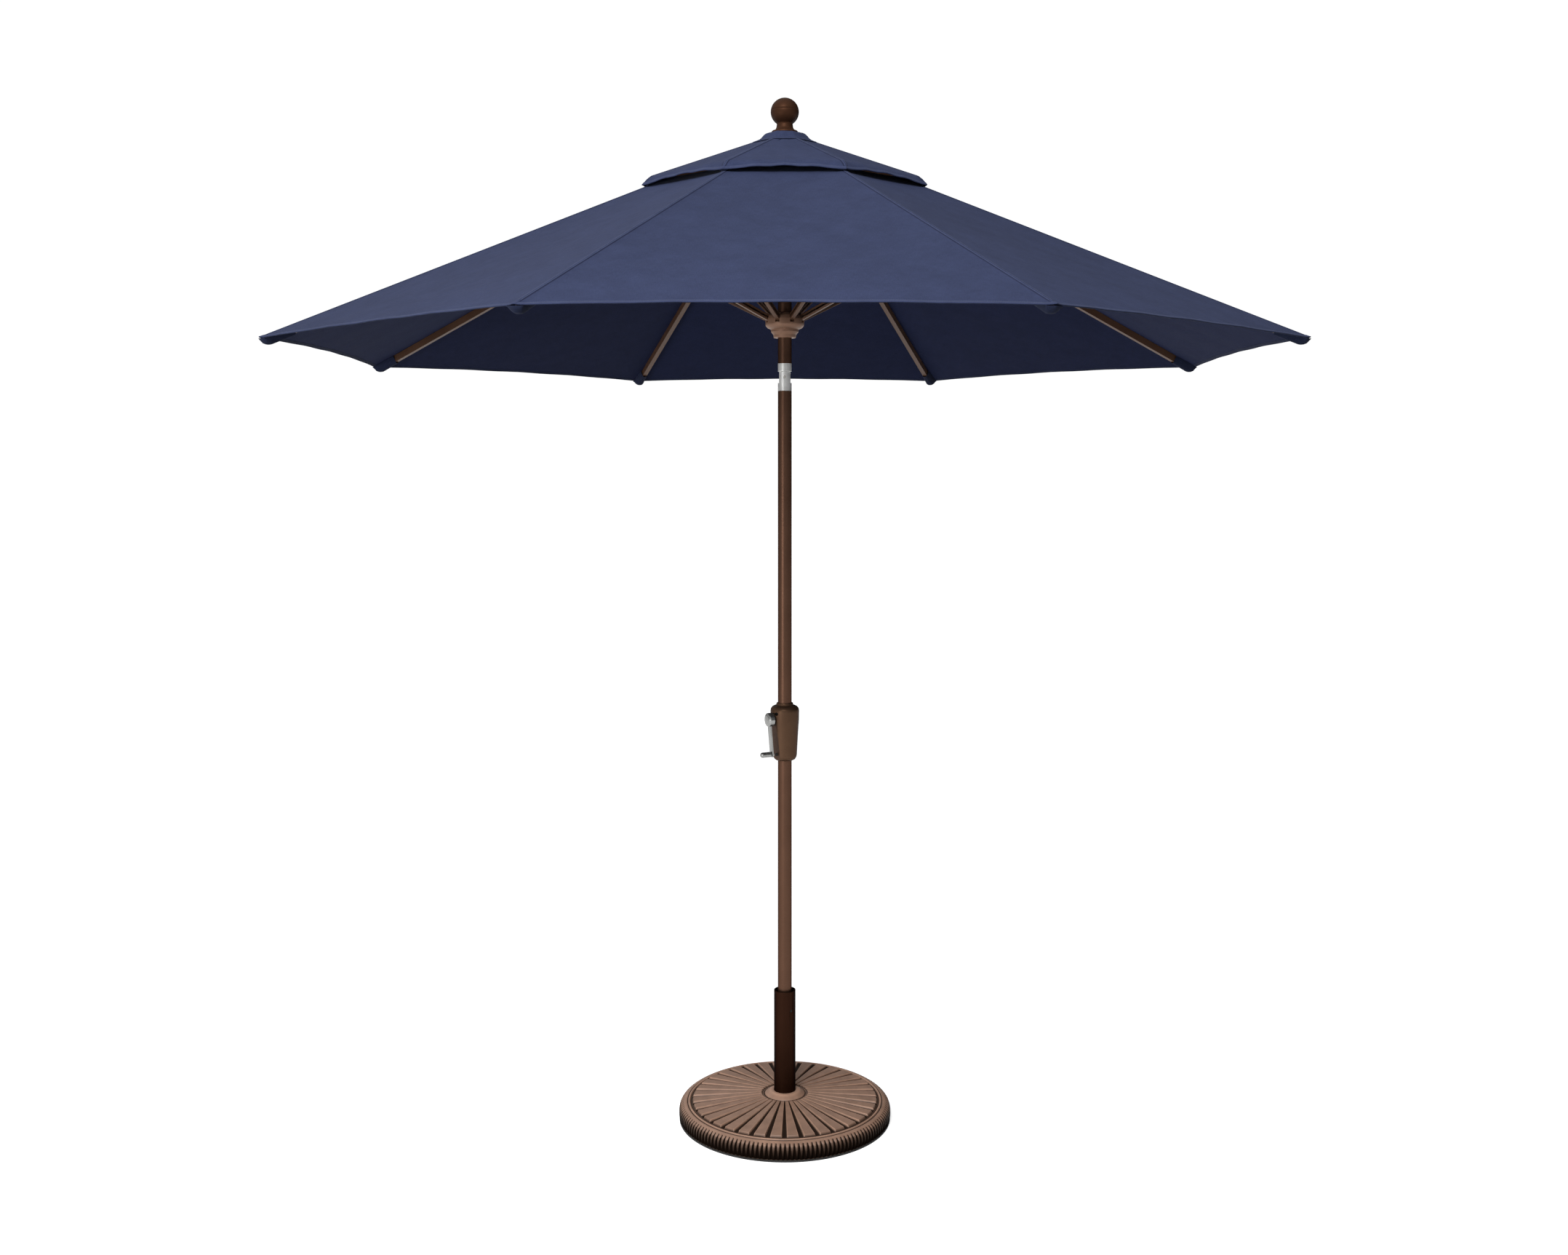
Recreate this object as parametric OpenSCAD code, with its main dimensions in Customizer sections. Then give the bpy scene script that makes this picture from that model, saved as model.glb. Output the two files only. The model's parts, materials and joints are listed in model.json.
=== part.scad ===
// Crank-lift market umbrella with a cast round base.
// Origin on the ground at the mast axis, +Z up. Eight ribs stand at 22.5 degrees and every 45 after it.

/* [Mast] */
// Outside diameter of the mast tubes
mast_d = 35; // [32:0.5:38]
// Wall of the mast tubes
mast_wall = 1.5; // [1.2:0.1:2]
// Height of the seam between the lower and the upper mast
seam_z = 915; // [912:1:920]
// Height of the tilt pivot
tilt_z = 1882; // [1860:1:1900]

/* [Frame] */
// Height of the rib pivots in the hub
hub_z = 2476; // [2460:1:2490]
// Radius of the circle that the rib and strut pivots stand on
pivot_r = 38; // [37:0.5:40]
// Slope of the open ribs below the horizontal
rib_slope = 23.9; // [23:0.1:25]
// Radius from the mast axis to the cover's corners
cover_r = 1270; // [1240:1:1290]
// Distance along a rib from its pivot to the strut bracket
bracket_s = 512; // [500:1:520]
// Drop of the bracket pin below the rib's centre line
bracket_drop = 18; // [17.8:0.1:19]
// Width of a rib tube
rib_w = 14; // [12:0.5:14]
// Height of a rib tube
rib_h = 18; // [16:0.5:18]
// Width of a strut
strut_w = 11; // [10:0.5:11]
// Height of a strut
strut_h = 15; // [12:0.5:15]

/* [Cover] */
// Radius of the vent cap's corners
vent_r = 378; // [370:1:390]
// Radius of the opening under the vent cap
opening_r = 330; // [320:1:340]
// Slope of the vent cap below the horizontal, less steep than the ribs
vent_slope = 21.2; // [20.8:0.1:21.6]
// Height of the vent cap's peak above the rib pivots
vent_rise = 29; // [28:0.5:30]
// Thickness that stands for the cloth
cloth_t = 1.5; // [1.2:0.1:2]

/* [Base] */
// Outside diameter of the base
base_d = 537; // [530:1:545]
// Number of raised wedges on top of the base
wedges = 36; // [24:1:40]
// Outside diameter of the base stem
stem_d = 54.6; // [54:0.1:56]
// Height of the top of the stem
stem_top = 322; // [300:1:340]

/* [Crank] */
// Height of the crank axis
crank_z = 1012; // [1008:1:1016]
// Distance from the crank axis to the grip axis
crank_throw = 88; // [85:1:90]
// Direction of the crank axis, seen from above
crank_az = 207; // [203:1:211]

/* [Hidden] */
$fn = 64;

bronze = [0.24, 0.18, 0.14];
dark_bronze = [0.13, 0.10, 0.08];
navy = [0.20, 0.22, 0.33];
silver = [0.75, 0.75, 0.74];
black = [0.08, 0.08, 0.08];

eps = 0.01;
ribs = 8;
sector = 360 / ribs;
first_rib = sector / 2;
mast_r = mast_d / 2;
mast_in = mast_r - mast_wall;

// Open frame: angle of the pivot-to-bracket line from straight down, and the runner pivot height
bracket_turn = atan(bracket_drop / bracket_s);
strut_len = norm([bracket_s, bracket_drop]);
open_angle = 90 - rib_slope - bracket_turn;
runner_z = hub_z - 2 * strut_len * cos(open_angle);

// Cover: a flat panel spans two ribs, and eta is half its angle at the peak
cloth_n = rib_h / 2 + 1;
eta = asin(cos(rib_slope) * sin(sector / 2));
panel_tilt = atan(tan(sector / 2) * sin(rib_slope));
peak_s = -(pivot_r + cloth_n * sin(rib_slope)) / cos(rib_slope);
main_len = cover_r / cos(rib_slope);
open_len = opening_r / cos(rib_slope);
vent_eta = asin(cos(vent_slope) * sin(sector / 2));
vent_tilt = atan(tan(sector / 2) * sin(vent_slope));
vent_len = vent_r / cos(vent_slope);
crown_r = 61;
crown_len = (crown_r + 6) / cos(vent_slope);
rib_end = main_len + peak_s - 18;
panel_gap = 0.3;

pin_r = 2.5;
bore_r = pin_r + 0.3;

module at_rib(i) {
    rotate([0, 0, first_rib + (i - 1) * sector]) children();
}

// Local frame of an open rib: X along it from its pivot, Y across it, Z out of the cover
module on_rib(i) {
    at_rib(i) translate([pivot_r, 0, hub_z]) rotate([0, rib_slope, 0]) children();
}

// Local frame of an open strut: X along it, from the runner pivot to the bracket pin
module on_strut(i) {
    at_rib(i) translate([pivot_r, 0, runner_z]) rotate([0, open_angle - 90, 0]) children();
}

// Cylinder that lies along Y, centred on the origin
module cross_pin(r, length) {
    rotate([90, 0, 0]) cylinder(r = r, h = length, center = true);
}

module tube(r_out, r_in, z0, z1) {
    translate([0, 0, z0]) difference() {
        cylinder(r = r_out, h = z1 - z0);
        translate([0, 0, -1]) cylinder(r = r_in, h = z1 - z0 + 2);
    }
}

// ---------------------------------------------------------------- base

base_r = base_d / 2;
rim_h = 36;
rim_in = 247;
field_out = 236;
field_in = 55;
field_z0 = 44;
field_z1 = 58;
collar_r = 51;
collar_z = 68;
wall = 11;
stem_r = stem_d / 2;
stem_in = stem_r - 3;
stem_foot = 12;
foot_h = 4;

module base_section() {
    polygon([
        [stem_r + 0.2, foot_h + 8], [stem_r + 0.2, collar_z], [collar_r - 16, collar_z],
        [collar_r, field_z1 + 2], [collar_r, field_z1], [field_out, field_z0],
        [field_out + 5, field_z0 + 2], [rim_in, field_z0], [base_r - 6, rim_h],
        [base_r, rim_h - 8], [base_r, foot_h], [base_r - wall, foot_h],
        [base_r - wall, rim_h - wall - 4], [rim_in - 8, field_z0 - wall],
        [collar_r + 8, field_z1 - wall], [collar_r + 8, foot_h + 8]
    ]);
}

module wedge() {
    half = 180 / wedges * 0.62;
    intersection() {
        rotate([0, 0, -half]) rotate_extrude(angle = 2 * half) polygon([
            [field_in + 4, field_z1 - 3], [field_in + 6, field_z1 + 3],
            [field_out - 5, field_z0 + 4.6], [field_out - 2, field_z0 - 2]
        ]);
        translate([0, -20, 0]) cube([field_out, 40, 100]);
    }
}

module under_rib() {
    translate([collar_r + 4, -3, foot_h + 4]) cube([base_r - wall - collar_r - 2, 6, 26]);
}

module base_plate() {
    color(dark_bronze) difference() {
        union() {
            rotate_extrude($fn = 128) base_section();
            for (k = [0 : wedges - 1]) rotate([0, 0, (k + 0.5) * 360 / wedges]) wedge();
            for (k = [0 : 7]) rotate([0, 0, k * 45]) under_rib();
        }
        at_flange_screws() translate([0, 0, foot_h + 6]) cylinder(r = 3.12, h = 18);
    }
}

module at_flange_screws() {
    for (k = [0 : 2]) rotate([0, 0, 90 + 120 * k]) translate([38, 0, 0]) children();
}

module base_foot_ring() {
    color(black) tube(base_r - 1, base_r - wall + 1, 0, foot_h);
}

knob_z = 270;
knob_az = 90;
grub_z = 274;
grub_az = -54;
flange_r = 48;

module stem_screw_hole(az, z, r) {
    rotate([0, 0, az]) translate([stem_in - 4, 0, z]) rotate([0, 90, 0]) cylinder(r = r, h = 12);
}

module base_stem() {
    color(dark_bronze) difference() {
        union() {
            translate([0, 0, stem_foot]) cylinder(r = stem_r, h = stem_top - stem_foot);
            translate([0, 0, foot_h]) cylinder(r = flange_r, h = stem_foot - foot_h - 0.1);
            translate([0, 0, foot_h + 4]) cylinder(r = stem_r, h = 6);
        }
        translate([0, 0, -1]) cylinder(r = stem_in, h = stem_top + 2);
        stem_screw_hole(knob_az, knob_z, 5.05);
        stem_screw_hole(grub_az, grub_z, 3.05);
        at_flange_screws() cylinder(r = 3.3, h = 20);
    }
}

// Three flange screws from below, and the small grub screw in the stem's side
module stem_screws() {
    color(silver) {
        at_flange_screws() {
            translate([0, 0, 1]) cylinder(r = 5.5, h = foot_h - 1);
            translate([0, 0, 1]) cylinder(r = 3.1, h = foot_h + 18);
        }
        rotate([0, 0, grub_az]) translate([stem_in - 1.5, 0, grub_z]) rotate([0, 90, 0])
            cylinder(r = 3, h = 4.8);
    }
}

sleeve_top = 250;

module stem_sleeve() {
    color(black) difference() {
        translate([0, 0, foot_h + 2]) cylinder(r = stem_in - 0.1, h = sleeve_top - foot_h - 2);
        translate([0, 0, foot_h + 8]) cylinder(r = mast_r + 0.1, h = sleeve_top);
    }
}

module clamp_knob() {
    tip = mast_r + 0.4;
    color(black) rotate([0, 0, knob_az]) translate([0, 0, knob_z]) rotate([0, 90, 0]) union() {
        translate([0, 0, tip]) cylinder(r = 5, h = 30);
        translate([0, 0, stem_r + 6]) cylinder(r1 = 9, r2 = 13, h = 8);
        translate([0, 0, stem_r + 14]) cylinder(r = 20, h = 12);
        for (k = [0 : 5]) rotate([0, 0, 60 * k]) translate([19, 0, stem_r + 14])
            cylinder(r = 5, h = 12);
    }
}

// ---------------------------------------------------------------- mast

pole_foot = foot_h + 8.5;
spigot_top = seam_z + 70;
spigot_in = mast_in - 0.15;

module lower_pole() {
    color(bronze) tube(mast_r, mast_in, pole_foot, seam_z);
}

module pole_spigot() {
    color(silver) tube(spigot_in, spigot_in - 2, seam_z - 110, spigot_top);
}

spool_r = 11;
spool_len = 16;
shaft_r = 4;
fork_foot = tilt_z - 35;

module on_crank() {
    translate([0, 0, crank_z]) rotate([0, 0, crank_az]) rotate([0, 90, 0]) children();
}

module upper_pole() {
    color(bronze) difference() {
        tube(mast_r, mast_in, seam_z + 0.3, fork_foot);
        on_crank() cylinder(r = shaft_r + 1, h = 30);
    }
}

// ---------------------------------------------------------------- crank

house_bottom = 907;
house_top = 1053;
screw_x = -21;
screw_zs = [924, 1028];
face_d = 32;
face_lean = 5;
boss_in = 34.5;

module house_section() {
    polygon([
        [mast_r + 0.1, house_bottom], [21, house_bottom], [26.5, house_bottom + 3],
        [30, house_bottom + 9], [31, house_bottom + 15], [34, house_bottom + 70],
        [36.2, house_bottom + 103], [36.6, house_top - 20], [35.6, house_top - 14.5],
        [32, house_top - 9.5], [26, house_top - 6.5], [22, house_top - 5.5],
        [21.5, house_top - 3], [20.5, house_top], [mast_r + 0.1, house_top]
    ]);
}

// The whole housing, with the leaning flat that the crank turns beside
module house_solid() {
    difference() {
        rotate_extrude() house_section();
        translate([0, 0, crank_z]) rotate([0, 0, crank_az]) rotate([0, face_lean, 0])
            translate([face_d, -50, -140]) cube([50, 100, 161]);
        translate([0, 0, house_bottom - 1]) cylinder(r = mast_r + 0.1, h = 200);
        on_crank() cylinder(r = shaft_r + 0.06, h = 60);
        for (z = screw_zs) translate([screw_x, 0, z]) rotate([90, 0, 0]) {
            cylinder(r = 2, h = 90, center = true);
            translate([0, 0, 17]) cylinder(r = 4.2, h = 40);
        }
    }
}

module crank_housing_front() {
    color(bronze) intersection() {
        house_solid();
        translate([-100, -200.05, 0]) cube([200, 200, 1200]);
    }
}

module crank_housing_rear() {
    color(bronze) intersection() {
        house_solid();
        translate([-100, 0.05, 0]) cube([200, 200, 1200]);
    }
}

module housing_screws() {
    color(black) for (z = screw_zs) translate([screw_x, 0, z]) rotate([90, 0, 0]) {
        translate([0, 0, -12]) cylinder(r = 1.9, h = 29);
        translate([0, 0, 17]) cylinder(r = 3.8, h = 3);
    }
}

module crank_spool() {
    color(silver) on_crank() union() {
        translate([0, 0, -13]) cylinder(r = shaft_r, h = boss_in + 13);
        translate([0, 0, -spool_len / 2]) cylinder(r = spool_r - 3, h = spool_len);
        translate([0, 0, -spool_len / 2]) cylinder(r = spool_r, h = 2);
        translate([0, 0, spool_len / 2 - 2]) cylinder(r = spool_r, h = 2);
    }
}

arm_t = 4;
arm_w = 15;
boss_r = 17.6;
grip_in = 39.5;
grip_len = 27;
grip_r = 6.7;
arm_d = 46.5;

// Domed boss on the shaft's end, and the flat arm that hangs from it and leans inwards
module crank_arm() {
    color(silver) on_crank() union() {
        rotate_extrude() polygon([
            [0, boss_in], [boss_r - 1.5, boss_in], [boss_r, boss_in + 2], [boss_r, 47.5],
            [boss_r - 2, 50], [boss_r - 6, 51.8], [0, 53]
        ]);
        difference() {
            translate([0, 0, arm_d]) rotate([0, face_lean, 0]) translate([0, -arm_w / 2, -arm_t])
                cube([crank_throw / cos(face_lean), arm_w, arm_t]);
            translate([-50, -50, 53]) cube(100);
        }
        translate([crank_throw, 0, 33.5]) cylinder(r = arm_w / 2, h = 4.4);
        translate([crank_throw, 0, 33.5]) cylinder(r = 3, h = grip_in + grip_len - 33.5 + 1);
        translate([crank_throw, 0, grip_in + grip_len + 0.4]) cylinder(r1 = 5, r2 = 4, h = 1.6);
    }
}

module crank_grip() {
    color(silver) on_crank() translate([crank_throw, 0, 0]) difference() {
        rotate_extrude() polygon([
            [0, grip_in], [grip_r - 1.5, grip_in], [grip_r, grip_in + 1.5],
            [grip_r, grip_in + grip_len - 1.5], [grip_r - 1.5, grip_in + grip_len],
            [0, grip_in + grip_len]
        ]);
        cylinder(r = 3.06, h = 200);
    }
}

cord_r = 1.5;
cord_y = 9.5;

module lift_cord_lower() {
    color(black) translate([0, cord_y, crank_z + spool_r + 3])
        cylinder(r = cord_r, h = tilt_z - 14 - crank_z - spool_r - 3, $fn = 16);
}

// ---------------------------------------------------------------- tilt joint

knuckle_h = 35;
knuckle_gap = 15;
ear_r = knuckle_gap - 0.5;
tongue_half = 6;

module fork_plug(z0, z1) {
    tube(mast_in - 0.1, mast_in - 3, z0, z1);
}

module ear(half_in, half_out) {
    for (side = [-1, 1]) intersection() {
        union() {
            cross_pin(ear_r, 60);
            translate([-ear_r, -30, -knuckle_gap - 4]) cube([2 * ear_r, 60, knuckle_gap + 4]);
        }
        translate([-30, side > 0 ? half_in : -half_out, -40]) cube([60, half_out - half_in, 80]);
        translate([0, 0, -50]) cylinder(r = mast_r, h = 100);
    }
}

module tilt_fork() {
    color(silver) union() {
        translate([0, 0, tilt_z]) difference() {
            union() {
                translate([0, 0, -knuckle_h]) cylinder(r = mast_r, h = knuckle_h - knuckle_gap);
                ear(tongue_half + 0.2, mast_r);
            }
            translate([0, 0, -knuckle_h - 1]) cylinder(r = mast_in - 3, h = 12);
            translate([0, cord_y, -60]) cylinder(r = cord_r + 1, h = 120);
            cross_pin(4.0, 60);
        }
        fork_plug(fork_foot - 40, fork_foot + eps);
    }
}

module tilt_tongue() {
    color(silver) union() {
        translate([0, 0, tilt_z]) difference() {
            union() {
                translate([0, 0, knuckle_gap]) cylinder(r = mast_r, h = knuckle_h - knuckle_gap);
                intersection() {
                    union() {
                        cross_pin(ear_r, 60);
                        translate([-ear_r, -30, 0]) cube([2 * ear_r, 60, knuckle_gap + 4]);
                    }
                    translate([-30, -tongue_half, -40]) cube([60, 2 * tongue_half, 80]);
                }
            }
            translate([0, 0, knuckle_h - 11]) cylinder(r = mast_in - 3, h = 12);
            translate([0, cord_y, 0]) cylinder(r = cord_r + 1, h = 60);
            cross_pin(4.06, 60);
        }
        fork_plug(tilt_z + knuckle_h - eps, tilt_z + knuckle_h + 40);
    }
}

module tilt_pin() {
    color(silver) translate([0, 0, tilt_z]) cross_pin(4.0, 2 * mast_r - 2.4);
}

// ---------------------------------------------------------------- top of the mast

top_foot = tilt_z + knuckle_h;
pulley_z = hub_z - 36;
pulley_y = 12;
pulley_r = 9;

module top_pole() {
    color(bronze) difference() {
        tube(mast_r, mast_in, top_foot, hub_z + 12);
        translate([-4.5, 0, pulley_z - 13]) cube([9, 40, 26]);
        translate([0, pulley_y, pulley_z]) rotate([0, 90, 0])
            cylinder(r = 2, h = 60, center = true);
    }
}

module pulley() {
    color(black) translate([0, pulley_y, pulley_z]) rotate([0, 90, 0]) difference() {
        rotate_extrude() polygon([
            [2.06, -3], [pulley_r, -3], [pulley_r, -2.2], [pulley_r - 2.4, 0],
            [pulley_r, 2.2], [pulley_r, 3], [2.06, 3]
        ]);
        translate([0, 0, -10]) cylinder(r = 2.06, h = 20);
    }
}

// Inner run up to the pulley, and the outer run down to the runner
module lift_cord_upper() {
    outer_y = pulley_y + pulley_r + cord_r + 0.3;
    color(black) {
        translate([0, cord_y - 8.6, tilt_z + 46])
            cylinder(r = cord_r, h = pulley_z - tilt_z - 46, $fn = 16);
        translate([0, outer_y, runner_top + 0.5])
            cylinder(r = cord_r, h = pulley_z - runner_top, $fn = 16);
    }
}

module hub() {
    color(bronze) translate([0, 0, hub_z]) difference() {
        union() {
            translate([0, 0, -16]) cylinder(r = 26, h = 10);
            rotate_extrude() polygon([
                [0, -10], [46, -10], [54, -4], [57, 2], [57, 10], [50, 18], [40, 23], [0, 24]
            ]);
        }
        translate([0, 0, -30]) cylinder(r = mast_r + 0.1, h = 42);
        for (k = [1 : ribs]) at_rib(k) {
            translate([pivot_r - 10.5, -rib_w / 2 - 0.4, -30]) cube([60, rib_w + 0.8, 40.5]);
            translate([pivot_r, 0, 0]) cross_pin(pin_r, 25);
        }
        translate([0, 0, 10]) cylinder(r = 3.9, h = 20);
    }
}

// Rib pins in the hub, with the pulley's axle, which is the same rod
module hub_pins() {
    color(silver) {
        for (k = [1 : ribs]) at_rib(k) translate([pivot_r, 0, hub_z]) cross_pin(pin_r, 24);
        translate([0, pulley_y, pulley_z]) rotate([0, 90, 0])
            cylinder(r = 2, h = 25, center = true);
    }
}

// Cloth gathered over the hub, with a hole for the finial's stud
module crown_cloth() {
    color(navy) translate([0, 0, hub_z]) difference() {
        rotate_extrude() polygon([
            [4.5, 24.4], [40, 23.4], [50.3, 18.4], [57.4, 10.4], [crown_r, 10.5],
            [59.5, 15], [53.5, 22], [45, 26.8], [30, 29.5], [4.5, 30]
        ]);
        translate([0, 0, 10]) cylinder(r = 4.6, h = 60);
    }
}

finial_z = hub_z + 30;

// Turned finial: bell skirt, neck and ball, with the stud that screws into the hub
module finial() {
    color(bronze) translate([0, 0, finial_z]) union() {
        rotate_extrude() polygon(concat(
            [[0, 0.2], [33, 0.2], [34, 3], [33, 7]],
            [for (t = [0 : 10 : 90]) [21 + 11 * (1 - sin(t)), 8 + 9 * (1 - cos(t))]],
            [[20.5, 19], [21, 23], [0, 23]]
        ));
        translate([0, 0, 52]) sphere(r = 36);
        translate([0, 0, -14]) cylinder(r = 3.8, h = 16);
    }
}

// ---------------------------------------------------------------- runner

runner_top = runner_z + 16;
runner_bore = mast_r + 0.7;

module runner() {
    color(bronze) translate([0, 0, runner_z]) difference() {
        rotate_extrude() polygon([
            [runner_bore, -46], [27.5, -46], [28.5, -44], [29.5, -38], [35, -31],
            [35.5, -25], [44, -21], [48.5, -16], [49.5, -11], [49.5, 0], [46.5, 9],
            [41, 14], [39, 16], [runner_bore, 16]
        ]);
        for (k = [1 : ribs]) at_rib(k) {
            translate([pivot_r - strut_h / 2 - 1.5, -strut_w / 2 - 0.4, -strut_h / 2 - 1])
                cube([60, strut_w + 0.8, 60]);
            translate([pivot_r, 0, 0]) cross_pin(pin_r, 22);
        }
    }
}

module runner_pins() {
    color(silver) for (k = [1 : ribs]) at_rib(k) translate([pivot_r, 0, runner_z])
        cross_pin(pin_r, 20);
}

// ---------------------------------------------------------------- ribs and struts

bracket_len = 46;
cheek_t = 2;

module rib_tube() {
    difference() {
        union() {
            translate([0, -rib_w / 2, -rib_h / 2]) cube([rib_end, rib_w, rib_h]);
            cross_pin(rib_h / 2, rib_w);
        }
        translate([14, -rib_w / 2 + 1.3, -rib_h / 2 + 1.3])
            cube([rib_end, rib_w - 2.6, rib_h - 2.6]);
        cross_pin(bore_r, 30);
    }
}

// Saddle with two cheeks that hold the strut's pin under the tube
module rib_bracket() {
    cheek_in = strut_w / 2 + 0.4;
    translate([bracket_s, 0, 0]) difference() {
        union() for (side = [-1, 1]) {
            translate([-bracket_len / 2, side > 0 ? rib_w / 2 : -rib_w / 2 - cheek_t, -rib_h / 2])
                cube([bracket_len, cheek_t, rib_h * 0.7]);
            translate([-bracket_len / 2, side > 0 ? cheek_in : -rib_w / 2 - cheek_t, -rib_h / 2 - 3])
                cube([bracket_len, rib_w / 2 + cheek_t - cheek_in, 3]);
            translate([0, side * (cheek_in + cheek_t / 2), -bracket_drop]) cross_pin(8, cheek_t);
            translate([-8, side > 0 ? cheek_in : -cheek_in - cheek_t, -bracket_drop])
                cube([16, cheek_t, bracket_drop - rib_h / 2]);
        }
        translate([0, 0, -bracket_drop]) cross_pin(pin_r, 60);
    }
}

module rib(i) {
    color(bronze) on_rib(i) {
        rib_tube();
        rib_bracket();
        translate([bracket_s, 0, -bracket_drop]) cross_pin(pin_r, strut_w + 0.8 + 2 * cheek_t);
        translate([rib_end + eps, 0, 0]) rotate([0, 90, 0]) cylinder(r = 6.5, h = 10);
    }
}

module strut(i) {
    color(bronze) on_strut(i) difference() {
        union() {
            translate([0, -strut_w / 2, -strut_h / 2]) cube([strut_len, strut_w, strut_h]);
            cross_pin(strut_h / 2, strut_w);
            translate([strut_len, 0, 0]) cross_pin(strut_h / 2, strut_w);
        }
        translate([16, -strut_w / 2 + 1.3, -strut_h / 2 + 1.3])
            cube([strut_len - 32, strut_w - 2.6, strut_h - 2.6]);
        cross_pin(bore_r, 30);
        translate([strut_len, 0, 0]) cross_pin(bore_r, 30);
    }
}

// ---------------------------------------------------------------- cover

// Half a panel beside a rib, in the panel's own plane, from distance near to distance far
// along the rib and from the rib's line to the panel's middle, at angle turn from the rib
module half_panel(near, far, inner, turn) {
    mid = function(len) [
        len * cos(turn) * cos(turn), len * cos(turn) * sin(turn) - panel_gap / cos(turn)
    ];
    polygon([
        [near - inner * tan(turn), inner], [far - inner * tan(turn), inner], mid(far), mid(near)
    ]);
}

module cover_half(i, side) {
    turned = [0, side > 0 ? 0 : 1, 0];
    color(navy) {
        on_rib(i) mirror(turned) translate([peak_s, 0, cloth_n]) rotate([-panel_tilt, 0, 0])
            linear_extrude(cloth_t) half_panel(open_len, main_len, rib_w / 2 + 1.5, eta);
        at_rib(i) translate([0, 0, hub_z + vent_rise]) rotate([0, vent_slope, 0])
            mirror(turned) rotate([-vent_tilt, 0, 0])
                linear_extrude(cloth_t) half_panel(crown_len, vent_len, 3, vent_eta);
    }
}

base_plate();
base_foot_ring();
base_stem();
stem_screws();
stem_sleeve();
clamp_knob();
lower_pole();
pole_spigot();
upper_pole();
crank_housing_front();
crank_housing_rear();
housing_screws();
crank_spool();
crank_arm();
crank_grip();
lift_cord_lower();
tilt_fork();
tilt_tongue();
tilt_pin();
top_pole();
lift_cord_upper();
pulley();
hub();
hub_pins();
crown_cloth();
finial();
runner();
runner_pins();
for (i = [1 : ribs]) {
    rib(i);
    strut(i);
    cover_half(i, -1);
    cover_half(i, 1);
}
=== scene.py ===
"""Market umbrella with a cast round base: camera, studio, cloth, finishes and trim on the CAD frame."""

import json
import math

import bmesh
import bpy
import numpy as np
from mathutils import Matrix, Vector


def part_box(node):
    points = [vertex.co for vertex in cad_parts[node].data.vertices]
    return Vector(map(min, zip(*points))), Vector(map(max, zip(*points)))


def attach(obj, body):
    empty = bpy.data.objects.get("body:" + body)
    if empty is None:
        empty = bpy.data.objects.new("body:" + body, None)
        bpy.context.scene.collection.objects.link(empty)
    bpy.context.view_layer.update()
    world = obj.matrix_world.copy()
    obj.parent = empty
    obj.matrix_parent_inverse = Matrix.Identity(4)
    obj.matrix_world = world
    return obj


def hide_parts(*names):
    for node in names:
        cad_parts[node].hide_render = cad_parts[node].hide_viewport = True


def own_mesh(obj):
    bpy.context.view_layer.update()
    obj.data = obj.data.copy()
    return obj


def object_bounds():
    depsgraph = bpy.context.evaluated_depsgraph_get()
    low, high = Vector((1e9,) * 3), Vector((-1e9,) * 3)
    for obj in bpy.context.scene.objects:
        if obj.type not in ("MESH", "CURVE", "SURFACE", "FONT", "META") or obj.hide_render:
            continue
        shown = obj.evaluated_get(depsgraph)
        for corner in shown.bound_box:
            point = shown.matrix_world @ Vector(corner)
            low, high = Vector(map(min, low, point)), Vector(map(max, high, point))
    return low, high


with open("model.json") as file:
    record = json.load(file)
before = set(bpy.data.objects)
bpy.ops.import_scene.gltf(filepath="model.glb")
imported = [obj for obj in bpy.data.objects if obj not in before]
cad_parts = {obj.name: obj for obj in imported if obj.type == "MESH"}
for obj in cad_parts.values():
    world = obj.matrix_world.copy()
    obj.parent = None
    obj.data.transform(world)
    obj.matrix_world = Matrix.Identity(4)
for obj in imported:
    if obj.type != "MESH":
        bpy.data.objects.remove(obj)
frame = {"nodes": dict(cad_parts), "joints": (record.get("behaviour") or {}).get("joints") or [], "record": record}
cad_low, cad_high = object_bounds()
scene = bpy.context.scene
MM = 0.001
RIBS = 8

# ---------------------------------------------------------------- camera

camera_data = bpy.data.cameras.new("camera")
camera = bpy.data.objects.new("camera", camera_data)
scene.collection.objects.link(camera)
camera.location = (0.0, -3.937, 1.644)
camera.rotation_euler = (math.pi / 2, 0.0, 0.0)
camera_data.sensor_width = 36.0
camera_data.lens = 35.45
camera_data.shift_x = -0.0005
camera_data.shift_y = -0.100
camera_data.clip_end = 400.0
scene.camera = camera

# ---------------------------------------------------------------- mesh helpers


def link(obj, body):
    """Puts a new piece in the scene on its CAD body."""
    scene.collection.objects.link(obj)
    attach(obj, body)
    return obj


def mesh_object(name, verts, faces, materials, face_material=None, sharp=40.0, uv=None):
    """A smooth-shaded mesh with sharp edges above an angle, faces turned outwards."""
    mesh = bpy.data.meshes.new(name)
    mesh.from_pydata([tuple(map(float, v)) for v in verts], [], faces)
    for material in materials:
        mesh.materials.append(material)
    if face_material is not None:
        mesh.polygons.foreach_set("material_index", np.asarray(face_material, np.int32))
    bm = bmesh.new()
    bm.from_mesh(mesh)
    bmesh.ops.recalc_face_normals(bm, faces=bm.faces)
    bm.to_mesh(mesh)
    bm.free()
    mesh.polygons.foreach_set("use_smooth", np.ones(len(mesh.polygons), bool))
    mesh.set_sharp_from_angle(angle=math.radians(sharp))
    if uv is not None:
        layer = mesh.uv_layers.new(name="cloth")
        index = np.zeros(len(mesh.loops), np.int32)
        mesh.loops.foreach_get("vertex_index", index)
        layer.data.foreach_set("uv", np.asarray(uv, np.float32)[index].ravel())
    mesh.update()
    return bpy.data.objects.new(name, mesh)


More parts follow.
